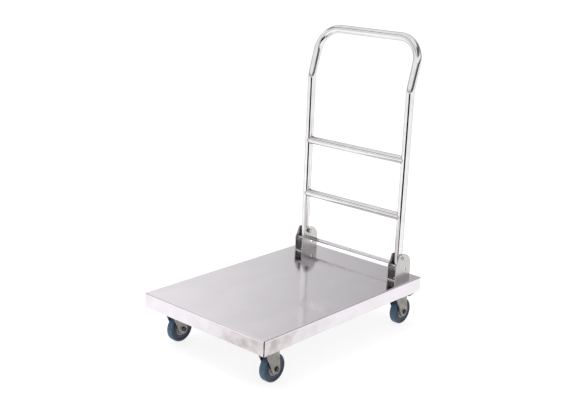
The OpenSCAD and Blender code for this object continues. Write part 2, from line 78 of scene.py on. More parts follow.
# ---------------------------------------------------------------- sizes
# Sheet metal of the deck
SHEET = 1.5 * MM
FOLD = 4 * MM
HEM = 2.6 * MM
LIP = 12 * MM
SLIT = 2.5 * MM
RELIEF = 1.5 * MM

# Handle above the deck
BRACKET_T = 3 * MM
TUBE_R = 12.5 * MM
KINK_Z = 589 * MM
KINK_ANGLE = math.radians(15.7)
TOP_RUN = 157 * MM
CORNER_R = 76 * MM
KINK_R = 80 * MM

# Casters
FORK_IN = 14.5 * MM
FORK_T = 3 * MM
FORK_END = 16 * MM
FORK_FRONT = 27 * MM
FORK_BACK = 32 * MM
TRAIL = 24 * MM
HUB_R = 22 * MM
BOSS_R = 12 * MM
BUSH_R = 8 * MM
CROWN_R = 27 * MM
RACE_IN = 13 * MM
RACE_OUT = 23.5 * MM
KING_HEAD = 2.5 * MM
PLATE_T = 3 * MM
PLATE_HOLES = (52 * MM, 66 * MM)
BRAKE_BEND = 44 * MM

# Fasteners are all M8: a hexagon's corners, a head and a nut are multiples of the thread
BOLT_R = 4 * MM
HEX_R = 0.94 * 2 * BOLT_R
HEAD_H = 0.6 * 2 * BOLT_R
NUT_H = 0.8 * 2 * BOLT_R
PITCH = 1.25 * MM
THREAD_DEPTH = 0.5 * MM


def middle(node):
    """Centre of a CAD node's box."""
    low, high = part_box(node)
    return np.array((low + high) / 2)


def joint(name):
    """A joint's row in the record."""
    return next(row for row in frame["joints"] if row["name"] == name)


def axis_at(name):
    """Where a joint's axis passes, at rest."""
    return np.array(joint(name)["pos_m"])


deck_low, deck_high = (np.array(corner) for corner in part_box("deck_tray"))
deck_z, rim_z = deck_high[2], deck_low[2]
leg_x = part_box("leg_plugs")[1].x - TUBE_R
leg_y, pivot_z = axis_at("handle_fold")[1:]
wheel_z = middle("front_left_tyre")[2]


# ---------------------------------------------------------------- shader nodes
class Wire:
    """An output socket. Arithmetic on wires adds Math nodes to their graph."""

    def __init__(self, graph, socket):
        self.graph = graph
        self.socket = socket

    def math(self, operation, *values):
        """A Math node on the values given, which may be wires or numbers."""
        return self.graph.node("ShaderNodeMath", {"operation": operation}, dict(enumerate(values)))

    def __add__(self, other):
        return self.math("ADD", self, other)

    def __mul__(self, other):
        return self.math("MULTIPLY", self, other)

    def __sub__(self, other):
        return self.math("SUBTRACT", self, other)

    def __rsub__(self, other):
        return self.math("SUBTRACT", other, self)

    __radd__ = __add__
    __rmul__ = __mul__

    def step(self, low, high):
        """0 below low, 1 above high, and smooth between them."""
        return self.graph.node("ShaderNodeMapRange", {"interpolation_type": "SMOOTHSTEP"},
                               {"Value": self, "From Min": low, "From Max": high})


class Graph:
    """The nodes of a material or of the world."""

    def __init__(self, owner):
        owner.use_nodes = True
        self.tree = owner.node_tree
        self.tree.nodes.clear()

    def node(self, kind, settings=None, values=None, out=0):
        """Adds a node, sets its settings, then fills its sockets with numbers or wires."""
        made = self.tree.nodes.new(kind)
        for key, value in (settings or {}).items():
            if key == "stops":
                ramp = made.color_ramp
                while len(ramp.elements) < len(value):
                    ramp.elements.new(0.5)
                for element, (place, colour) in zip(ramp.elements, value):
                    element.position = place
                    element.color = (*colour, 1)
            else:
                setattr(made, key, value)
        for key, value in (values or {}).items():
            socket = made.inputs[key]
            if isinstance(value, Wire):
                self.tree.links.new(value.socket, socket)
            elif socket.type == "RGBA":
                socket.default_value = (*value, 1)
            else:
                socket.default_value = value
        return Wire(self, made.outputs[out]) if made.outputs else None

    def place(self, centre=(0, 0, 0), stretch=(1, 1, 1)):
        """Object coordinates about a centre, each axis multiplied by its stretch."""
        here = self.node("ShaderNodeTexCoord", out="Object")
        moved = self.node("ShaderNodeVectorMath", {"operation": "SUBTRACT"},
                          {0: here, 1: tuple(centre)})
        return self.node("ShaderNodeVectorMath", {"operation": "MULTIPLY"},
                         {0: moved, 1: stretch})

    def noise(self, where, scale, detail=2.0):
        """Smooth noise from about 0 to 1."""
        return self.node("ShaderNodeTexNoise", None,
                         {"Vector": where, "Scale": scale, "Detail": detail}, "Fac")

    def mix(self, factor, first, second):
        """A colour between two colours or colour wires."""
        return self.node("ShaderNodeMix", {"data_type": "RGBA"},
                         {0: factor, 6: first, 7: second}, 2)

    def bump(self, height, distance, below=None):
        """A normal tilted by a height of 0 to 1 times a distance, over another bump."""
        values = {"Height": height, "Distance": distance}
        if below:
            values["Normal"] = below
        return self.node("ShaderNodeBump", None, values)

    def surface(self, **values):
        """The Principled shader with its sockets filled, and the material's output."""
        shader = self.node("ShaderNodeBsdfPrincipled", None, values)
        self.node("ShaderNodeOutputMaterial", None, {"Surface": shader})


def material(name):
    """A new material and its graph."""
    made = bpy.data.materials.new(name)
    return made, Graph(made)


# ---------------------------------------------------------------- materials
def rolled_steel(name, pale, dull, roughness, grain, warp, stains_and_shade=0.0):
    """Brushed stainless sheet. The grain is fine noise drawn out along one axis by the
    stretch, smears vary colour and gloss, a slow warp bends reflections, brown stains mottle
    the walls, most near the front right corner, where painted shade darkens the walls as well."""
    made, g = material(name)
    lines = g.noise(g.place(stretch=grain), 1.0, 3.0)
    smears = g.noise(g.place(stretch=(1, 0.5, 1)), 11.0, 4.0)
    slow = g.noise(g.place(), 3.2, 1.0)
    tone = smears.step(0.25, 0.75) * 0.65 + lines * 0.35
    waves = g.bump(slow, warp)
    height = g.node("ShaderNodeSeparateXYZ", None, {"Vector": g.place()}, 2)
    corner = g.node("ShaderNodeVectorMath", {"operation": "LENGTH"},
                    {0: g.place((deck_high[0], deck_low[1], rim_z))}, "Value")
    blots = g.noise(g.place(stretch=(22, 22, 30)), 1.0, 5.0)
    wall = 1 - height.step(deck_z - 2 * FOLD, deck_z - 0.5 * FOLD)
    # painted shade: near weights a brown darkening of the walls towards the front right corner, the
    # one nearest the camera, standing in for a darker reflection; the blots mixed in are stains
    near = 1 - corner.step(0.03, 0.32)
    stain_and_shade = wall * (blots.step(0.35, 0.75) * (0.12 + 0.5 * near) + 0.35 * near) * stains_and_shade
    g.surface(**{
        "Base Color": g.mix(stain_and_shade, g.mix(tone, dull, pale), (0.42, 0.375, 0.36)),
        "Metallic": 1.0,
        "Roughness": lines * 0.05 + smears * 0.07 + (roughness - 0.06),
        "Normal": g.bump(lines, 3e-6, waves),
    })
    return made


def polished_tube(name, pale, dull, roughness):
    """Polished stainless tube with faint polishing rings and finger marks."""
    made, g = material(name)
    rings = g.noise(g.place(stretch=(160, 160, 900)), 1.0, 2.0)
    marks = g.noise(g.place(), 42.0, 4.0)
    g.surface(**{
        "Base Color": g.mix(marks.step(0.3, 0.7), dull, pale),
        "Metallic": 1.0,
        "Roughness": marks.step(0.42, 0.75) * 0.07 + rings * 0.03 + (roughness - 0.02),
        "Normal": g.bump(rings, 1.5e-6),
        "Specular Tint": (0.50, 0.50, 0.51),
    })
    return made


def plated(name, pale, dull, roughness):
    """Zinc-plated or machined steel: mottled crystals and dull patches, rougher where pale."""
    made, g = material(name)
    flakes = g.node("ShaderNodeTexVoronoi", None, {"Vector": g.place(), "Scale": 420.0}, "Color")
    flake = g.node("ShaderNodeSeparateColor", None, {"Color": flakes})
    patches = g.noise(g.place(), 60.0, 5.0)
    tone = patches.step(0.3, 0.7) * 0.7 + flake * 0.3
    g.surface(**{
        "Base Color": g.mix(tone, dull, pale),
        "Metallic": 0.9,
        "Roughness": patches * 0.16 + flake * 0.06 + (roughness - 0.11),
        "Normal": g.bump(patches, 6e-5),
    })
    return made


def oxide(name, pale, dull, roughness, metal):
    """Blackened or moulded surface with fine pores and paler patches of wear."""
    made, g = material(name)
    pores = g.noise(g.place(), 1400.0, 2.0)
    wear = g.noise(g.place(), 130.0, 5.0)
    g.surface(**{
        "Base Color": g.mix(wear.step(0.45, 0.8), dull, pale),
        "Metallic": metal,
        "Roughness": wear * 0.16 + (roughness - 0.08),
        "Normal": g.bump(pores, 2e-5),
    })
    return made


def tyre_rubber(name, centre, radius):
    """Blue moulded rubber: the tread is painted lighter than the walls, as painted light, and is
    scuffed and dusty; the side walls are darker with fine rings left by the mould."""
    made, g = material(name)
    spokes = g.node("ShaderNodeVectorMath", {"operation": "LENGTH"},
                    {0: g.place(centre, (0, 1, 1))}, "Value")
    tread = spokes.step(radius - 2.4 * MM, radius - 0.6 * MM)
    dust = g.noise(g.place(centre), 70.0, 5.0)
    scuffs = g.noise(g.place(centre, (0.25, 1, 1)), 520.0, 3.0)
    wall = g.mix(dust.step(0.35, 0.75), (0.010, 0.022, 0.046), (0.020, 0.041, 0.078))
    # painted light: the tread's colours are lighter than the walls', as where light falls on the
    # tread, with real scuffs mixed in
    lit_worn_tread = g.mix(scuffs.step(0.35, 0.7), (0.030, 0.070, 0.130), (0.060, 0.115, 0.185))
    rings = spokes.math("SINE", spokes * (math.tau / (0.9 * MM)))
    g.surface(**{
        "Base Color": g.mix(tread, wall, lit_worn_tread),
        "Roughness": dust * 0.18 + tread * 0.12 + 0.34,
        "Normal": g.bump(scuffs, 6e-5, g.bump(rings, 1e-5)),
        "Specular IOR Level": 0.55,
    })
    return made


def weld_bead(name):
    """Weld metal, straw and blue at the heat-tinted edges."""
    made, g = material(name)
    heat = g.noise(g.place(), 240.0, 3.0)
    tint = g.node("ShaderNodeValToRGB", {"stops": [
        (0.30, (0.46, 0.44, 0.43)), (0.50, (0.62, 0.60, 0.57)), (0.66, (0.42, 0.36, 0.27)),
        (0.80, (0.26, 0.28, 0.36))]}, {"Fac": heat})
    g.surface(**{
        "Base Color": tint,
        "Metallic": 1.0,
        "Roughness": heat * 0.3 + 0.22,
        "Normal": g.bump(heat, 1.2e-4),
    })
    return made


# the last 1.0 turns on the walls' brown stains and their painted shade
deck_steel = rolled_steel("deck_steel", (0.83, 0.795, 0.835), (0.76, 0.725, 0.76), 0.11,
                          (1500, 14, 900), 5e-4, 1.0)
bracket_steel = rolled_steel("bracket_steel", (0.64, 0.625, 0.62), (0.47, 0.455, 0.45), 0.28,
                             (900, 900, 26), 1e-4)
frame_steel = rolled_steel("frame_steel", (0.58, 0.58, 0.59), (0.47, 0.47, 0.48), 0.34,
                           (18, 1100, 1100), 2e-4)
bolt_steel = plated("bolt_steel", (0.62, 0.61, 0.60), (0.46, 0.45, 0.44), 0.26)
tube_steel = polished_tube("tube_steel", (0.82, 0.81, 0.82), (0.75, 0.735, 0.74), 0.07)
zinc = plated("zinc", (0.38, 0.365, 0.345), (0.20, 0.185, 0.17), 0.42)
dark_bolt = oxide("dark_bolt", (0.20, 0.17, 0.14), (0.055, 0.047, 0.042), 0.42, 0.85)
spring_steel = oxide("spring_steel", (0.34, 0.34, 0.36), (0.20, 0.20, 0.21), 0.32, 1.0)
hub_nylon = oxide("hub_nylon", (0.50, 0.49, 0.48), (0.34, 0.33, 0.33), 0.50, 0.0)
bush_nylon = oxide("bush_nylon", (0.20, 0.20, 0.21), (0.13, 0.13, 0.14), 0.45, 0.0)
plug_black = oxide("plug_black", (0.07, 0.07, 0.07), (0.035, 0.035, 0.035), 0.55, 0.0)
weld_metal = weld_bead("weld_metal")


# ---------------------------------------------------------------- skins
def skin(rings, loop=False):
    """A closed skin over closed rings of points, an array (rings, points, 3). Each ring joins
    the next by quads. In a loop the last joins the first, or else one face closes each end."""
    count, around = rings.shape[:2]
    grid = np.arange(count * around).reshape(count, around)
    low, high = (grid, np.roll(grid, -1, 0)) if loop else (grid[:-1], grid[1:])
    quads = np.stack([low, np.roll(low, -1, 1), np.roll(high, -1, 1), high], -1)
    ends = [] if loop else [grid[0][::-1].tolist(), grid[-1].tolist()]
    return rings.reshape(-1, 3), quads.reshape(-1, 4).tolist() + ends


def turned(profile, centre, axis="X", sides=96, loop=False, wobble=None):
    """A profile of (radius, distance along the axis) turned about the axis: the point is
    centre + radius * (cos t, sin t) across the axis + distance along it. A wobble is added to
    the distance, as an array (profile points, sides)."""
    profile = np.array(profile, float)
    t = np.arange(sides) * math.tau / sides
    radius = profile[:, :1] + 0 * t
    along = profile[:, 1:] + 0 * t
    if wobble is not None:
        along = along + wobble
    across = [radius * np.cos(t), radius * np.sin(t)]
    order = {"X": [along, *across], "Y": [across[1], along, across[0]], "Z": [*across, along]}
    return skin(np.stack(order[axis], -1) + np.array(centre, float), loop)


def carried(section, path, side, loop=False, swell=None):
    """A closed section (points, 2) carried along a path. The side vector is kept square to the
    path at each step; a section point is path + first * side + second * (path direction x side).
    Swell multiplies the section at each step."""
    path = np.array(path, float)
    ahead = np.roll(path, -1, 0) - np.roll(path, 1, 0)
    if not loop:
        ahead[0], ahead[-1] = path[1] - path[0], path[-1] - path[-2]
    ahead /= np.linalg.norm(ahead, axis=1)[:, None]
    sides = np.empty_like(path)
    for i, direction in enumerate(ahead):
        side = side - np.dot(side, direction) * direction
        side = side / np.linalg.norm(side)
        sides[i] = side
    ups = np.cross(ahead, sides)
    scale = np.ones(len(path)) if swell is None else swell
    a = section[:, 0][None, :, None] * sides[:, None, :]
    b = section[:, 1][None, :, None] * ups[:, None, :]
    return skin(path[:, None, :] + scale[:, None, None] * (a + b), loop)


def ring(radius, sides=24):
    """A circle as a section: radius * (cos t, sin t)."""
    t = np.arange(sides) * math.tau / sides
    return radius * np.stack([np.cos(t), np.sin(t)], -1)


def arc(centre, radius, start, end, count):
    """Points on a circle from one angle to another, in degrees."""
    t = np.radians(np.linspace(start, end, count))
    return [(centre[0] + radius * math.cos(a), centre[1] + radius * math.sin(a)) for a in t]


def rounded_path(corners, radii, step=4.0):
    """A path through corners, each corner swapped for an arc of its radius that starts and
    ends radius * tan(half the turn) from it, with a point every few degrees."""
    corners = np.array(corners, float)
    path = [corners[0]]
    for before, here, after, radius in zip(corners, corners[1:], corners[2:], radii):
        u = (here - before) / np.linalg.norm(here - before)
        v = (after - here) / np.linalg.norm(after - here)
        turn = math.acos(np.clip(u @ v, -1, 1))
        inward = (v - u) / np.linalg.norm(v - u)
        centre = here + inward * radius / math.cos(turn / 2)
        start = here - u * radius * math.tan(turn / 2) - centre
        count = max(2, math.ceil(math.degrees(turn) / step)) + 1
        t = np.linspace(0, turn, count)[:, None]
        path.extend(centre + start * np.cos(t) + u * radius * np.sin(t))
    path.append(corners[-1])
    return np.array(path)


def slab(outline, low, high, edge=0.4 * MM):
    """A plate between two heights over a convex outline, with its edges rounded: the rings
    are the outline drawn in by edge * (1 - sin t) at heights edge * (1 - cos t) from each face."""
    outline = np.array(outline, float)
    along = np.roll(outline, -1, 0) - np.roll(outline, 1, 0)
    along /= np.maximum(np.linalg.norm(along, axis=1), 1e-9)[:, None]
    outward = np.stack([along[:, 1], -along[:, 0]], -1)
    turn = np.linspace(0, math.pi / 2, 4)
    draws = edge * (1 - np.sin(turn))
    rises = edge * (1 - np.cos(turn))
    rings = [np.c_[outline - outward * d, np.full(len(outline), low + r)]
             for d, r in zip(draws, rises)]
    rings += [np.c_[outline - outward * d, np.full(len(outline), high - r)]
              for d, r in zip(draws[::-1], rises[::-1])]
    return skin(np.array(rings))


def rounded_rectangle(low, high, radius, count=7):
    """A rectangle's outline with arcs at its corners, anticlockwise."""
    (x0, y0), (x1, y1) = low, high
    r = radius
    return (arc((x1 - r, y1 - r), r, 0, 90, count) + arc((x0 + r, y1 - r), r, 90, 180, count)
            + arc((x0 + r, y0 + r), r, 180, 270, count) + arc((x1 - r, y0 + r), r, 270, 360, count))


def hexagon(corner, height, bore=0.0, sides=48):
    """Rings of a chamfered hexagon from 0 to height, about Z: the radius is flat / cos(t) within
    each sixth, and a 30 degree cone cuts the corners. With a bore the rings form a loop."""
    t = np.arange(sides) * math.tau / sides
    flat = corner * math.cos(math.pi / 6)
    radius = flat / np.cos((t + math.pi / 6) % (math.pi / 3) - math.pi / 6)
    cone = 0.99 * flat
    drop = (radius - cone) * math.tan(math.pi / 6)
    rows = [(bore + 0 * t, 0 * t), (cone + 0 * t, 0 * t), (radius, drop),
            (radius, height - drop), (cone + 0 * t, height + 0 * t), (bore + 0 * t, height + 0 * t)]
    return np.array([np.stack([r * np.cos(t), r * np.sin(t), z], -1) for r, z in rows])


def placed(rings, centre, axis="Z", way=1, loop=False):
    """Rings made about Z, turned to run along an axis either way and moved to a centre."""
    x, y, z = np.moveaxis(rings, -1, 0)
    z = way * z
    order = {"X": [z, x, y], "Y": [y, z, x], "Z": [x, y, z]}
    return skin(np.stack(order[axis], -1) + np.array(centre, float), loop)


def threads(radius, start, end):
    """Profile of a threaded shank: the radius drops by the thread's depth once in each pitch."""
    turns = np.arange(start, end, PITCH / 2)
    depth = np.where(np.arange(len(turns)) % 2, THREAD_DEPTH, 0)
    body = np.stack([radius - depth, turns], -1)
    return np.vstack([[0, start], body, [radius - 0.8 * MM, end], [0, end]])


def mesh_of(parts):
    """One mesh of several skins, each with its doubles merged and its faces turned outwards."""
    whole = bmesh.new()
    for points, faces in parts:
        shell = bpy.data.meshes.new("shell")
        shell.from_pydata(points.tolist(), [], faces)
        one = bmesh.new()
        one.from_mesh(shell)
        bmesh.ops.remove_doubles(one, verts=one.verts, dist=1e-6)
        bmesh.ops.recalc_face_normals(one, faces=one.faces)
        one.to_mesh(shell)
        one.free()
        whole.from_mesh(shell)
        bpy.data.meshes.remove(shell)
    mesh = bpy.data.meshes.new("piece")
    whole.to_mesh(mesh)
    whole.free()
    return mesh


def piece(name, mesh, body, finish, stands_for=(), crease=34):
    """Puts a mesh in the scene, shaded smooth up to the crease angle, and gives it to a body."""
    mesh.name = name
    mesh.shade_smooth()
    mesh.set_sharp_from_angle(angle=math.radians(crease))
    mesh.materials.clear()
    mesh.materials.append(finish)
    made = bpy.data.objects.new(name, mesh)
    bpy.context.scene.collection.objects.link(made)
    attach(made, body)
    if stands_for:
        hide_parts(*stands_for)
    return made


def eased(node, finish, width=0.4 * MM):
    """A copy of a CAD node with its loose triangles merged, flat faces made whole and a live
    Bevel on every edge sharper than 32 degrees."""
    source = frame["nodes"][node]
    work = bmesh.new()
    work.from_mesh(source.data)
    bmesh.ops.remove_doubles(work, verts=work.verts, dist=1e-6)
    bmesh.ops.dissolve_limit(work, angle_limit=math.radians(0.6), verts=work.verts,
                             edges=work.edges)
    mesh = bpy.data.meshes.new(node)
    work.to_mesh(mesh)
    work.free()
    made = piece(node + "_eased", mesh, source["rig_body"], finish, [node])
    bevel = made.modifiers.new("eased edges", "BEVEL")
    bevel.width = width
    bevel.segments = 2
    bevel.limit_method = "ANGLE"
    bevel.angle_limit = math.radians(32)
    bevel.use_clamp_overlap = True
    return made


# ---------------------------------------------------------------- deck
def folded_edge(lip):
    """Section of a folded edge, as (outwards, up) from the start of the bend: an arc down to
    the wall, the wall, and with a lip a tight bend inwards along the bottom. A point of rest
    just past each bend keeps the wall's shading flat."""
    depth = deck_z - rim_z
    rest = 0.5 * MM
    outer = arc((0, -FOLD), FOLD, 90, 0, 9) + [(FOLD, -FOLD - rest)]
    inner = [(FOLD - SHEET, -FOLD - rest)] + arc((0, -FOLD), FOLD - SHEET, 0, 90, 9)
    if lip:
        r = HEM
        outer += [(FOLD, r - depth + rest)]
        outer += arc((FOLD - r, r - depth), r, 0, -90, 7) + [(FOLD - LIP, -depth)]
        inner = ([(FOLD - LIP, SHEET - depth)]
                 + arc((FOLD - r, r - depth), r - SHEET, -90, 0, 5) + inner)
    else:
        outer += [(FOLD, -depth)]
        inner = [(FOLD - SHEET, -depth)] + inner
    return np.array(outer + inner)


def deck_edge(side_axis, way, breaks):
    """Lengths of folded edge along one side of the deck, with or without the lip."""
    centre = (deck_low + deck_high) / 2
    half = (deck_high - deck_low) / 2
    outwards = np.eye(3)[side_axis] * way
    along = np.eye(3)[1 - side_axis]
    start = centre * [1, 1, 0] + outwards * (half[side_axis] - FOLD) + [0, 0, deck_z]
    parts = []
    for low, high, lip in breaks:
        path = [start + along * (low - centre[1 - side_axis]),
                start + along * (high - centre[1 - side_axis])]
        section = folded_edge(lip)
        up = np.cross(along, outwards)[2]
        parts.append(carried(section * [1, up], path, outwards))
    return parts


def deck_skin():
    """The flat sheet and its four folded edges. Each edge stops short of the corners, which
    leaves a slit, and has no lip at its ends or where a channel passes."""
    flat_low, flat_high = deck_low[:2] + FOLD, deck_high[:2] - FOLD
    corners = [flat_low, (flat_high[0], flat_low[1]), flat_high, (flat_low[0], flat_high[1])]
    levels = (deck_z - SHEET, deck_z)
    parts = [skin(np.array([[(x, y, z) for x, y in corners] for z in levels]))]
    for way in (-1, 1):
        low, high = deck_low[0] + SLIT, deck_high[0] - SLIT
        parts += deck_edge(1, way, [(low, low + LIP, False), (low + LIP, high - LIP, True),
                                    (high - LIP, high, False)])
        low, high = deck_low[1] + SLIT, deck_high[1] - SLIT
        breaks, at = [(low, low + LIP, False)], low + LIP
        for node in ("front_channel", "rear_channel"):
            near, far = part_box(node)[0].y - RELIEF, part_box(node)[1].y + RELIEF
            breaks += [(at, near, True), (near, far, False)]
            at = far
        if at < high - LIP:
            breaks.append((at, high - LIP, True))
        parts += deck_edge(0, way, breaks + [(max(at, high - LIP), high, False)])
    piece("deck_sheet", mesh_of(parts), "deck", deck_steel, ["deck_tray"])


def stitch_welds():
    """Short beads along the rib and the channels: a round section whose size ripples."""
    beads = []
    rib_low, rib_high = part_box("centre_rib")
    radius, wave = 1.9 * MM, 1.7 * MM
    rib_half, channel_half = 14 * MM, 15 * MM
    top = deck_z - SHEET - 1.3 * MM

    def bead(start, end, side):
        """A bead from one point to another whose side vector is given."""
        length = np.linalg.norm(np.array(end) - start)
        t = np.linspace(0, 1, max(12, int(length / (0.5 * MM))))
        ripple = 1 + 0.14 * np.sin(t * length / wave * math.tau)
        taper = np.sqrt(np.clip(1 - (2 * t - 1) ** 12, 0.02, 1))
        path = np.array(start) + (np.array(end) - start) * t[:, None]
        beads.append(carried(ring(radius, 10), path, np.array(side, float), swell=ripple * taper))

    for x in (rib_low.x, rib_high.x):
        for y in np.linspace(rib_low.y + 30 * MM, rib_high.y - 30 * MM, 5):
            bead((x, y - rib_half, top), (x, y + rib_half, top), (1, 0, 0))
    for node in ("front_channel", "rear_channel"):
        low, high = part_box(node)
        for y in (low.y, high.y):
            for x in np.linspace(low.x + 50 * MM, high.x - 50 * MM, 4):
                bead((x - channel_half, y, top), (x + channel_half, y, top), (0, 1, 0))
    piece("stitch_welds", mesh_of(beads), "deck", weld_metal)


# ---------------------------------------------------------------- handle
def handle_skin():
    """The bent tube: a circle carried up one leg, over the top and down the other."""
    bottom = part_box("handle_tube")[0].z
    kink = np.array([leg_x, leg_y, deck_z + KINK_Z])
    top = kink + TOP_RUN * np.array([0, math.sin(KINK_ANGLE), math.cos(KINK_ANGLE)])
    right = [(leg_x, leg_y, bottom), kink, top]
    mirror = [tuple(np.array(p) * [-1, 1, 1]) for p in right[::-1]]
    path = rounded_path(right + mirror, [KINK_R, CORNER_R, CORNER_R, KINK_R], 3.0)
    tube = carried(ring(TUBE_R, 48), path, np.array([1.0, 0, 0]))
    piece("handle_tube_skin", mesh_of([tube]), "handle", tube_steel, ["handle_tube"])


def rung_skin(node):
    """A rung whose ends follow the legs: x = leg - sqrt(tube^2 - y^2) round its circle. A weld
    bead, a small circle whose size ripples, runs round each end on the same curve."""
    low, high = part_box(node)
    radius, z = (high.z - low.z) / 2, (high.z + low.z) / 2
    section = ring(radius, 64)
    y = section[:, 0]
    reach = leg_x - np.sqrt(np.maximum(TUBE_R ** 2 - y ** 2, 0))
    rings = [np.stack([way * (reach - back), leg_y + y, z + section[:, 1]], -1)
             for way, back in ((-1, 0), (-1, 20 * MM), (1, 20 * MM), (1, 0))]
    piece(node + "_skin", mesh_of([skin(np.array(rings))]), "handle", tube_steel,
          [node])
    beads = []
    steps, ripples = 180, 42
    t = np.arange(steps) * math.tau / steps
    across = (radius + 0.5 * MM) * np.cos(t)
    saddle = leg_x - np.sqrt(np.maximum(TUBE_R ** 2 - across ** 2, 2 * MM ** 2))
    swell = 1 + 0.16 * np.sin(t * ripples)
    for way in (-1, 1):
        path = np.stack([way * (saddle - 0.4 * MM), leg_y + across,
                         z + (radius + 0.5 * MM) * np.sin(t)], -1)
        beads.append(carried(ring(1.25 * MM, 10), path, np.array([1.0, 0, 0]), loop=True,
                             swell=swell))
    piece(node + "_welds", mesh_of(beads), "handle", weld_metal)


def button_head(centre, axis, way, radius, height, socket):
    """A domed head: radius * cos t across and height * sin t along, down to a hexagon hole."""
    sides = 48
    t = np.arange(sides) * math.tau / sides
    six = socket / np.cos((t + math.pi / 6) % (math.pi / 3) - math.pi / 6)
    rows = [(0 * t, 0 * t), (radius + 0 * t, 0 * t)]
    for a in np.radians(np.linspace(8, 58, 8)):
        rows.append((radius * math.cos(a) + 0 * t, height * math.sin(a) + 0 * t))
    rows += [(six + 0.3 * MM, 0.9 * height + 0 * t), (six, 0.84 * height + 0 * t),
             (six, 0.35 * height + 0 * t), (0 * t, 0.3 * height + 0 * t)]
    rings = np.array([np.stack([r * np.cos(t), r * np.sin(t), z], -1) for r, z in rows])
    return placed(rings, centre, axis, way)


def pivot_hardware():
    """Button-head pivot bolts with a hexagon socket, and their nuts on the inner cheeks."""
    heads, nuts = [], []
    nut_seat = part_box("pivot_nuts")[1].x - NUT_H
    cheek_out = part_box("bracket_right")[1].x
    for way in (-1, 1):
        outer, inner = way * cheek_out, way * nut_seat
        heads.append(button_head((outer, leg_y, pivot_z), "X", way, 6 * MM, 4 * MM, 2.4 * MM))
        nuts.append(placed(hexagon(HEX_R, NUT_H, BOLT_R), (inner, leg_y, pivot_z), "X", way,
                           loop=True))
        shank = threads(BOLT_R, 0, cheek_out - nut_seat)
        shank[:, 1] = inner + way * shank[:, 1]
        heads.append(turned(shank, (0, leg_y, pivot_z), "X", 40))
    piece("pivot_bolts_skin", mesh_of(heads), "deck", bolt_steel, ["pivot_bolts"])
    piece("pivot_nuts_skin", mesh_of(nuts), "deck", zinc, ["pivot_nuts"])


def bracket_screws():
    """Button-head screws through the bracket base and the deck, with nuts below."""
    heads, nuts = [], []
    seat, under = deck_z + BRACKET_T, deck_z - SHEET
    low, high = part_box("bracket_nuts")
    flat = HEX_R * math.cos(math.pi / 6)
    for x in (-leg_x, leg_x):
        for y in (low.y + flat, high.y - flat):
            heads.append(button_head((x, y, seat), "Z", 1, HEX_R, 4 * MM, 2.6 * MM))
            heads.append(turned(threads(BOLT_R, low.z, seat), (x, y, 0), "Z", 40))
            nuts.append(placed(hexagon(HEX_R, under - low.z, BOLT_R), (x, y, low.z), loop=True))
    piece("bracket_screws_skin", mesh_of(heads), "deck", bolt_steel,
          ["bracket_screws"])
    piece("bracket_nuts_skin", mesh_of(nuts), "deck", zinc, ["bracket_nuts"])


def lock_rod_skin():
    """The foot rod, turned about X, with chamfered shoulders and thinner ends."""
    low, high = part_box("lock_rod")
    radius, end, chamfer = (high.z - low.z) / 2, 3.5 * MM, 0.6 * MM
    shoulder = leg_x + TUBE_R + 0.85 * MM
    half = [(0, high.x), (end - chamfer, high.x), (end, high.x - chamfer), (end, shoulder),
            (radius - chamfer, shoulder), (radius, shoulder - chamfer)]
    profile = [(r, -a) for r, a in half] + half[::-1]
    centre = middle("lock_rod") * [0, 1, 1]
    piece("lock_rod_skin", mesh_of([turned(profile, centre, "X", 48)]), "lock_bar",
          tube_steel, ["lock_rod"])


def lock_springs_skin():
    """The springs under the rod: a wire's circle carried up a helix of 4 mm radius."""
    low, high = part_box("lock_springs")
    wire, coil, turns = 0.7 * MM, 4 * MM, 6
    length, travel = high.z - low.z, -joint("lock_press")["range_m"][0]
    y = middle("lock_rod")[1]
    t = np.linspace(0, 1, turns * 28 + 1)
    coils = []
    for x in (-leg_x, leg_x):
        path = np.stack([x + coil * np.cos(t * turns * math.tau),
                         y + coil * np.sin(t * turns * math.tau),
                         low.z + wire + (length - 2 * wire) * t], -1)
        coils.append(carried(ring(wire, 10), path, np.array([0, 0, 1.0])))
    springs = piece("lock_springs_skin", mesh_of(coils), "deck", spring_steel,
                    ["lock_springs"])
    1 - travel / length
    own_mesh(springs)


# ---------------------------------------------------------------- casters
def fork_edges(height, top):
    """Front and back edge of a fork leg at a height, as distances behind the plate's centre:
    straight lines from the crown's corners that touch the circle round the axle, then the
    circle."""
    centre = np.array([TRAIL, wheel_z])
    edges = []
    for corner_y, way in ((-FORK_FRONT, -1), (FORK_BACK, 1)):
        corner = np.array([corner_y, top - FORK_T])
        gap = centre - corner
        length = np.linalg.norm(gap)
        turn = way * math.asin(FORK_END / length)
        reach = math.sqrt(length ** 2 - FORK_END ** 2) / length
        tangent = corner + reach * np.array([gap[0] * math.cos(turn) - gap[1] * math.sin(turn),
                                             gap[0] * math.sin(turn) + gap[1] * math.cos(turn)])
        share = np.clip((height - tangent[1]) / (corner[1] - tangent[1]), 0, 1)
        line = tangent[0] + (corner[0] - tangent[0]) * share
        round_end = TRAIL + way * np.sqrt(np.maximum(FORK_END ** 2 - (height - wheel_z) ** 2, 0))
        edges.append(np.where(height < tangent[1], round_end, line))
    return edges


def crown_top(fork):
    """Top of a swivel fork's crown: the kingpin's lower head hangs under its bottom."""
    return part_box(fork.replace("fork", "kingpin"))[0].z + KING_HEAD + FORK_T


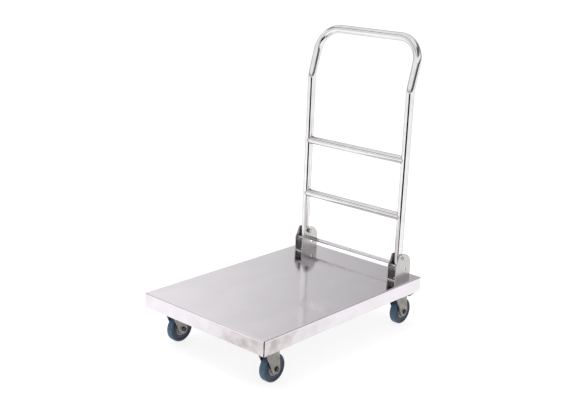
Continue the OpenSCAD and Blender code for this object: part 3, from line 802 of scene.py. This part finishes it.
def fork_line(top):
    """The strip's middle as x and z, from the foot of one leg over the crown to the other: the
    foot's points are spaced by a cosine, the corner is a quarter circle, and the second half
    mirrors the first."""
    half = FORK_T / 2
    mid, bend = FORK_IN + half, 4 * MM
    foot = wheel_z - FORK_END * np.cos(np.linspace(0, math.pi / 2, 12))
    rise = np.linspace(foot[-1], top - half - bend, 44)[1:]
    turn = np.linspace(0, math.pi / 2, 7)[1:]
    crown = np.linspace(-mid + bend, 0, 6)[1:]
    x = np.concatenate([0 * foot - mid, 0 * rise - mid, -mid + bend * (1 - np.cos(turn)), crown])
    z = np.concatenate([foot, rise, top - half - bend + bend * np.sin(turn),
                        0 * crown + top - half])
    return np.concatenate([x, -x[-2::-1]]), np.concatenate([z, z[-2::-1]])


def fork_relief(y, height, top):
    """How far a leg's pressing stands out: a swage, exp(-(distance from its line / width)^2)
    times a smooth step at each end, and a boss round the axle with a steep shoulder."""
    along = np.clip((height - (wheel_z + 15 * MM)) / (8 * MM), 0, 1)
    along *= np.clip((top - 9 * MM - height) / (8 * MM), 0, 1)
    line = TRAIL + (2.5 * MM - TRAIL) * (height - wheel_z) / (top - wheel_z)
    swage = np.exp(-((y - line) / (3.2 * MM)) ** 2) * along ** 2 * (3 - 2 * along)
    away = np.hypot(y - TRAIL, height - wheel_z)
    boss = 1 / (1 + np.exp((away - 9.5 * MM) / (0.5 * MM)))
    return 1.3 * MM * swage + 0.5 * MM * boss


def outward_normals(grid):
    """Unit normals of a grid of points, from the cross product of its two gradients, turned
    away from the inside of the fork. Where the grid closes to a point they run along X."""
    wide, height = grid[..., 0], grid[..., 2]
    along_v, along_u = np.gradient(grid, axis=0), np.gradient(grid, axis=1)
    normal = np.cross(along_u, along_v)
    length = np.linalg.norm(normal, axis=-1, keepdims=True)
    sideways = np.stack([np.sign(wide), 0 * wide, 0 * wide], -1)
    normal = np.where(length > 1e-12, normal / np.maximum(length, 1e-12), sideways)
    outward = np.stack([wide, 0 * wide, height - wheel_z - 10 * MM], -1)
    return normal * np.sign(np.sum(normal * outward, -1, keepdims=True) + 1e-12)


def fork_skin(name, at, side, body, swivel):
    """One pressed strip: up a leg, over the crown and down the other. A point is found by its
    place along the bend and its share of the width between the two edges, and the two faces
    lie half the thickness either side, drawn in a little at their edges."""
    top = crown_top(name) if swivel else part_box(name)[1].z
    half, edge = FORK_T / 2, 0.7 * MM
    x, z = fork_line(top)
    front, back = fork_edges(z, top)
    y = front[:, None] + (back - front)[:, None] * np.linspace(0, 1, 37)
    wide, height = x[:, None] + 0 * y, z[:, None] + 0 * y
    is_leg = np.abs(wide) > FORK_IN + half - 1e-6
    wide = wide + np.sign(wide) * is_leg * fork_relief(y, height, top)
    strip = np.stack([wide, y, height], -1)
    normal = outward_normals(strip)
    shrink = 1 - 2 * edge / np.maximum(back - front, 4 * edge)[:, None]
    centre_y = (front + back)[:, None] / 2

    def face(offset, factor):
        """The strip moved out along its normals, its width multiplied."""
        grid = strip + normal * offset
        grid[..., 1] = centre_y + (grid[..., 1] - centre_y) * factor
        return grid

    outer, outer_rim = face(half, shrink), face(half - edge, 1)
    inner, inner_rim = face(-half, shrink), face(edge - half, 1)
    rings = np.concatenate([outer_rim[:, :1], outer, outer_rim[:, -1:],
                            inner_rim[:, -1:], inner[:, ::-1], inner_rim[:, :1]], 1)
    parts = [skin(rings * [side, 1, 1] + at)]
    if swivel:
        race = [(RACE_IN, top - FORK_T), (CROWN_R - 1 * MM, top - FORK_T), (CROWN_R, top - 2 * MM),
                (CROWN_R - 0.6 * MM, top - 0.6 * MM), (RACE_OUT + 0.4 * MM, top),
                (RACE_OUT, top + 0.6 * MM), (RACE_OUT - 0.2 * MM, top + 2.2 * MM),
                (RACE_OUT - 1.2 * MM, top + 3 * MM), (RACE_IN, top + 3 * MM)]
        parts.append(turned(race, at, "Z", 80, loop=True))
    piece(name + "_skin", mesh_of(parts), body, zinc, [name], crease=40)


def plate_skin(name, at, swivel):
    """A caster plate with round corners; a swivel plate has the pressed upper race."""
    low, high = (np.array(corner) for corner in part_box(name))
    top, under = high[2], high[2] - PLATE_T
    parts = [slab(rounded_rectangle(low[:2], high[:2], 7 * MM), under, top, 0.5 * MM)]
    if swivel:
        race = low[2]
        profile = [(RACE_IN, race), (RACE_OUT - 1.2 * MM, race),
                   (RACE_OUT - 0.2 * MM, race + 0.8 * MM), (RACE_OUT, race + 1.6 * MM),
                   (RACE_OUT + 0.4 * MM, under + 0.2 * MM), (RACE_IN, under + 0.2 * MM)]
        parts.append(turned(profile, at, "Z", 80, loop=True))
    piece(name + "_skin", mesh_of(parts), "deck", zinc, [name])


def tyre_skin(name, centre, body):
    """A tyre turned about X: a slightly crowned tread with the mould's parting line, round
    shoulders, and a wall with a raised band and a groove."""
    low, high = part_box(name)
    half, outer = (high.x - low.x) / 2, (high.z - low.z) / 2
    shoulder, crown = 5 * MM, 0.25 * MM
    tread = [(outer, 0.35 * MM), (outer - 0.15 * MM, 0.6 * MM),
             (outer - 0.18 * MM, half - shoulder - 1.5 * MM)]
    bend = arc((outer - shoulder - crown, half - shoulder), shoulder, 4, 82, 12)
    wall = [(outer - shoulder - 1.5 * MM, half), (outer - shoulder - 2 * MM, half - 0.5 * MM),
            (31.2 * MM, half - 0.8 * MM), (30.6 * MM, half - 1.5 * MM), (29.6 * MM, half - 1.9 * MM),
            (28.6 * MM, half - 1.5 * MM), (28 * MM, half - 0.7 * MM), (25.5 * MM, half - 0.3 * MM),
            (HUB_R + 1 * MM, half - 0.3 * MM), (HUB_R, half - 0.9 * MM)]
    side = tread + bend + wall
    profile = side + [(r, -a) for r, a in side[::-1]]
    made = turned(profile, centre, "X", 128, loop=True)
    finish = tyre_rubber(name.replace("tyre", "rubber"), centre, outer)
    piece(name + "_skin", mesh_of([made]), body, finish, [name], crease=50)


def hub_skin(name, centre, body):
    """A moulded wheel centre turned about X: boss, web and rim, with ribs that rise from the
    web by a smooth hump in the angle."""
    half, rim = 13 * MM, 10 * MM
    ribs, rib_height = 6, 4 * MM
    face = [(BUSH_R, half - 0.5 * MM, 0), (BUSH_R + 0.6 * MM, half, 0), (BOSS_R - 1.2 * MM, half, 0),
            (BOSS_R - 0.4 * MM, half - 0.6 * MM, 0), (BOSS_R, 8.5 * MM, 0),
            (BOSS_R + 0.3 * MM, 4.6 * MM, 1), (BOSS_R + 1 * MM, 4 * MM, 1),
            (15 * MM, 4 * MM, 1), (17 * MM, 4 * MM, 1),
            (17.7 * MM, 4.6 * MM, 1), (18 * MM, 8.2 * MM, 0.15), (18.3 * MM, rim - 0.4 * MM, 0),
            (18.9 * MM, rim, 0), (HUB_R - 0.6 * MM, rim, 0), (HUB_R, rim - 0.6 * MM, 0)]
    rows = face + [(r, -a, -w) for r, a, w in face[::-1]]
    profile = [(r, a) for r, a, _ in rows]
    sides = 144
    t = np.arange(sides) * math.tau / sides
    hump = np.clip((np.cos(ribs * t) - 0.72) / 0.16, 0, 1)
    weight = np.array([w for _, _, w in rows])[:, None]
    wobble = weight * hump * hump * (3 - 2 * hump) * rib_height
    made = turned(profile, centre, "X", sides, loop=True, wobble=wobble)
    piece(name + "_skin", mesh_of([made]), body, hub_nylon, [name])


def bush_skin(name, centre, body):
    """A bearing bush turned about X, with eased ends."""
    low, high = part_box(name)
    half, bore, ease = (high.x - low.x) / 2, BOLT_R + 0.05 * MM, 0.4 * MM
    end = [(bore, half - ease), (bore + ease, half), (BUSH_R - ease, half), (BUSH_R, half - ease)]
    profile = end + [(r, -a) for r, a in end[::-1]]
    piece(name + "_skin", mesh_of([turned(profile, centre, "X", 64, loop=True)]), body,
          bush_nylon, [name])


def axle_skin(corner, centre, side, body):
    """The axle's bolt with its washer face, and the nut on the inner side."""
    outer = FORK_IN + FORK_T
    start = centre + [side * outer, 0, 0]
    face = [(0, 0), (8.6 * MM, 0), (8.6 * MM, 0.9 * MM), (7.0 * MM, 1.1 * MM), (0, 1.1 * MM)]
    face = [(r, side * a) for r, a in face]
    shank = threads(BOLT_R, 0, 2 * outer + NUT_H - 0.2 * MM) * [1, -side]
    parts = [placed(hexagon(HEX_R, HEAD_H), start, "X", side), turned(face, start, "X", 48),
             turned(shank, start, "X", 40)]
    piece(corner + "_axle_bolt_skin", mesh_of(parts), body, dark_bolt,
          [corner + "_axle_bolt"])
    seat = centre - [side * outer, 0, 0]
    made = placed(hexagon(HEX_R, NUT_H, BOLT_R), seat, "X", -side, loop=True)
    piece(corner + "_axle_nut_skin", mesh_of([made]), body, dark_bolt,
          [corner + "_axle_nut"])


def brake_skin(name, at):
    """A foot brake: a barrel round its pin, a lever strip with a shoe, and a tread that tilts
    up and has cross ribs."""
    pin = axis_at(name + "_press") - at
    half, barrel, bore, strip, ease = 13 * MM, 5 * MM, 2.55 * MM, 2.5 * MM, 0.4 * MM
    bottom = wheel_z * 2 + 4 * MM
    reach, wide, tilt = 34 * MM, 20 * MM, math.radians(12)
    tube = [(bore, -half), (barrel - ease, -half), (barrel, ease - half),
            (barrel, half - ease), (barrel - ease, half), (bore, half)]
    lever = slab(rounded_rectangle((-half, pin[1]), (half, BRAKE_BEND + 1 * MM), 2 * MM), bottom,
                 bottom + strip, 0.5 * MM)
    shoe = slab(rounded_rectangle((-9 * MM, TRAIL - 5 * MM), (9 * MM, TRAIL + 5 * MM), 1.5 * MM),
                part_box(name)[0].z, bottom + 1 * MM, 0.4 * MM)
    flat = [turned(tube, (0, pin[1], pin[2]), "X", 48, loop=True), lever, shoe]
    tread = [slab(rounded_rectangle((-wide, 0), (wide, reach), 6 * MM), 0, strip, 0.6 * MM)]
    for y in np.arange(6, 31, 4.8) * MM:
        path = [(-wide + 5 * MM, y, strip - 0.7 * MM), (wide - 5 * MM, y, strip - 0.7 * MM)]
        tread.append(carried(ring(1.1 * MM, 12), path, np.array([0, 1.0, 0])))
    turn = np.array([[1, 0, 0], [0, math.cos(tilt), math.sin(tilt)],
                     [0, -math.sin(tilt), math.cos(tilt)]])
    tilted = [(points @ turn + [0, BRAKE_BEND, bottom], faces) for points, faces in tread]
    parts = [(points + at, faces) for points, faces in flat + tilted]
    piece(name + "_skin", mesh_of(parts), name, zinc, [name])


def plate_bolts():
    """All the bolts of the caster plates: heads in the channels, nuts and ends below."""
    bolts, nuts = [], []
    head_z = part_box("caster_bolts")[1].z - HEAD_H
    nut_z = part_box("caster_nuts")[0].z
    corners = [(-1, -1), (-1, 1), (1, -1), (1, 1)]
    for plate in ("front_left", "front_right", "rear_left", "rear_right"):
        for corner in corners:
            x, y = middle(plate + "_plate")[:2] + np.array(PLATE_HOLES) / 2 * corner
            bolts.append(placed(hexagon(HEX_R, HEAD_H), (x, y, head_z)))
            bolts.append(turned(threads(BOLT_R, nut_z, head_z), (x, y, 0), "Z", 32))
            nuts.append(placed(hexagon(HEX_R, NUT_H, BOLT_R), (x, y, nut_z), loop=True))
    piece("caster_bolts_skin", mesh_of(bolts), "deck", bolt_steel, ["caster_bolts"])
    piece("caster_nuts_skin", mesh_of(nuts), "deck", zinc, ["caster_nuts"])


# ---------------------------------------------------------------- all the pieces
deck_skin()
stitch_welds()
handle_skin()
for rung in ("upper_rung", "lower_rung"):
    rung_skin(rung)
pivot_hardware()
bracket_screws()
lock_rod_skin()
lock_springs_skin()
plate_bolts()
for bracket in ("bracket_left", "bracket_right"):
    eased(bracket, bracket_steel, 0.6 * MM)
for member in ("front_channel", "rear_channel", "centre_rib"):
    eased(member, frame_steel, 0.8 * MM)
eased("stop_pins", bolt_steel)
eased("pivot_bushes", zinc, 0.3 * MM)
eased("leg_plugs", plug_black)
for end in ("front", "rear"):
    for side, way in SIDES.items():
        corner = f"{end}_{side}"
        swivel = end == "rear"
        carrier = corner + "_swivel" if swivel else "deck"
        at = middle(corner + "_plate") * [1, 1, 0]
        hub = axis_at(corner + "_roll")
        fork_skin(corner + "_fork", at, way, carrier, swivel)
        plate_skin(corner + "_plate", at, swivel)
        tyre_skin(corner + "_tyre", hub, corner + "_wheel")
        hub_skin(corner + "_hub", hub, corner + "_wheel")
        bush_skin(corner + "_bush", hub, corner + "_wheel")
        axle_skin(corner, hub, way, carrier)
        if swivel:
            brake_skin(corner + "_brake", at)
            eased(corner + "_kingpin", bolt_steel)
            eased(corner + "_brake_pin", bolt_steel, 0.3 * MM)
            eased(corner + "_balls", tube_steel, 0.1 * MM)


# ---------------------------------------------------------------- studio
def staged(name, points, faces, finish):
    """A flat piece of the studio, which isn't part of the object."""
    mesh = bpy.data.meshes.new(name)
    mesh.from_pydata(points, [], faces)
    mesh.materials.append(finish)
    made = bpy.data.objects.new(name, mesh)
    bpy.context.scene.collection.objects.link(made)
    return made


def floor():
    """A pale floor, lit from below as a light table is: a flat square far wider than the view."""
    reach = 40.0
    corners = [(-reach, -reach, 0), (reach, -reach, 0), (reach, reach, 0), (-reach, reach, 0)]
    paint, g = material("floor_paint")
    mottle = g.noise(g.place(), 2.0, 3.0)
    g.surface(**{
        "Base Color": g.mix(mottle, (0.24, 0.24, 0.24), (0.27, 0.27, 0.27)),
        "Roughness": 0.9,
        "Specular IOR Level": 0.0,
        "Emission Color": (1, 1, 1),
        "Emission Strength": 0.80,
    })
    staged("floor", corners, [(0, 1, 2, 3)], paint)


def dark_card(name, centre, near, far, first, last):
    """A sector of dark cloth on the floor that only mirrors see, between two distances and two
    compass angles about a centre."""
    count = 13
    a = np.radians(np.linspace(first, last, count))
    across = np.stack([np.sin(a), np.cos(a), 0 * a], -1)
    points = np.concatenate([near * across, far * across]) + [*centre, 2 * MM]
    faces = [(i, i + 1, i + 1 + count, i + count) for i in range(count - 1)]
    cloth, g = material(name)
    weave = g.noise(g.place(), 300.0)
    g.surface(**{
        "Base Color": g.mix(weave, (0.006, 0.006, 0.006), (0.014, 0.014, 0.014)),
        "Roughness": 1.0,
        "Specular IOR Level": 0.0,
    })
    card = staged(name, points.tolist(), faces, cloth)
    card.visible_camera = card.visible_diffuse = card.visible_shadow = False


def studio_walls():
    """Soft light from all round. Mirrors see a room instead: walls that are greyer towards +Y
    and along their foot, a dark doorway low down towards +X, a dark beam high up at the front
    left, and a pale ceiling with a dark corner towards +X."""
    world = bpy.data.worlds.new("studio")
    bpy.context.scene.world = world
    g = Graph(world)
    view = g.node("ShaderNodeTexCoord", out="Generated")
    flat = g.node("ShaderNodeVectorMath", {"operation": "NORMALIZE"}, {
        0: g.node("ShaderNodeVectorMath", {"operation": "MULTIPLY"}, {0: view, 1: (1, 1, 0)})})

    def towards(azimuth):
        """Cosine of the angle from a compass direction, where 0 is +Y and 90 is +X."""
        a = math.radians(azimuth)
        return g.node("ShaderNodeVectorMath", {"operation": "DOT_PRODUCT"},
                      {0: flat, 1: (math.sin(a), math.cos(a), 0)}, "Value")

    height = g.node("ShaderNodeSeparateXYZ", None, {"Vector": view}, 2)
    walls = 1 - 0.55 * towards(0).step(0.60, 0.90)
    doorway = 1 - 0.84 * towards(95).step(0.55, 0.85) * (1 - height.step(0.20, 0.32))
    skirting = 0.45 + 0.55 * height.step(0.02, 0.24)
    beam = towards(230).step(0.50, 0.80) * height.step(0.46, 0.50) * (1 - height.step(0.60, 0.66))
    corner = towards(80).step(0.10, 0.50) * (1 - height.step(0.85, 0.92))
    ceiling = 0.95 - 0.80 * corner
    above = height.step(0.53, 0.60)
    room = (walls * doorway * skirting * (1 - above) + ceiling * above) * (1 - 0.80 * beam)
    mirror = g.node("ShaderNodeLightPath", out="Is Glossy Ray")
    back = g.node("ShaderNodeBackground", None,
                  {"Color": (1, 1, 1), "Strength": 1 - mirror * (1 - room)})
    g.node("ShaderNodeOutputWorld", None, {"Surface": back})


def lamp(name, place, target, size, power):
    """A square soft lamp aimed at a target, which mirrors don't see."""
    light = bpy.data.lights.new(name, "AREA")
    light.size = size
    light.energy = power
    made = bpy.data.objects.new(name, light)
    aim = Vector(target) - Vector(place)
    made.location = place
    made.rotation_euler = aim.to_track_quat("-Z", "Y").to_euler()
    made.visible_glossy = False
    bpy.context.scene.collection.objects.link(made)


def camera():
    """A long lens that looks down on the front right corner, rolled a little."""
    azimuth, pitch, roll = (math.radians(a) for a in (41.287, 16.069, 2.246))
    level = np.array([math.cos(azimuth), math.sin(azimuth), 0])
    ahead = np.array([-math.sin(azimuth) * math.cos(pitch), math.cos(azimuth) * math.cos(pitch),
                      -math.sin(pitch)])
    above = np.cross(level, ahead)
    right = level * math.cos(roll) + above * math.sin(roll)
    up = np.cross(right, ahead)
    made = bpy.data.objects.new("camera", bpy.data.cameras.new("camera"))
    made.data.lens = 61.26
    made.data.sensor_width = 36
    made.data.clip_end = 200
    stand = middle("deck_tray") * [1, 1, 0] + [1.8122, -2.0923, deck_z + 1.0447]
    turn = np.eye(4)
    turn[:3] = np.stack([right, up, -ahead, stand], -1)
    made.matrix_world = Matrix(turn.tolist())
    bpy.context.scene.collection.objects.link(made)
    bpy.context.scene.camera = made


floor()
dark_card("far_card", (0, leg_y), 1.25, 14, 134, 176)
dark_card("near_card", (leg_x, leg_y), 0.60, 1.25, 142, 168)
studio_walls()
lamp("top_softbox", (-0.8, -0.6, 3.2), (0, 0, 0.3), 2.6, 70)
camera()
bpy.context.scene.view_settings.view_transform = "Standard"
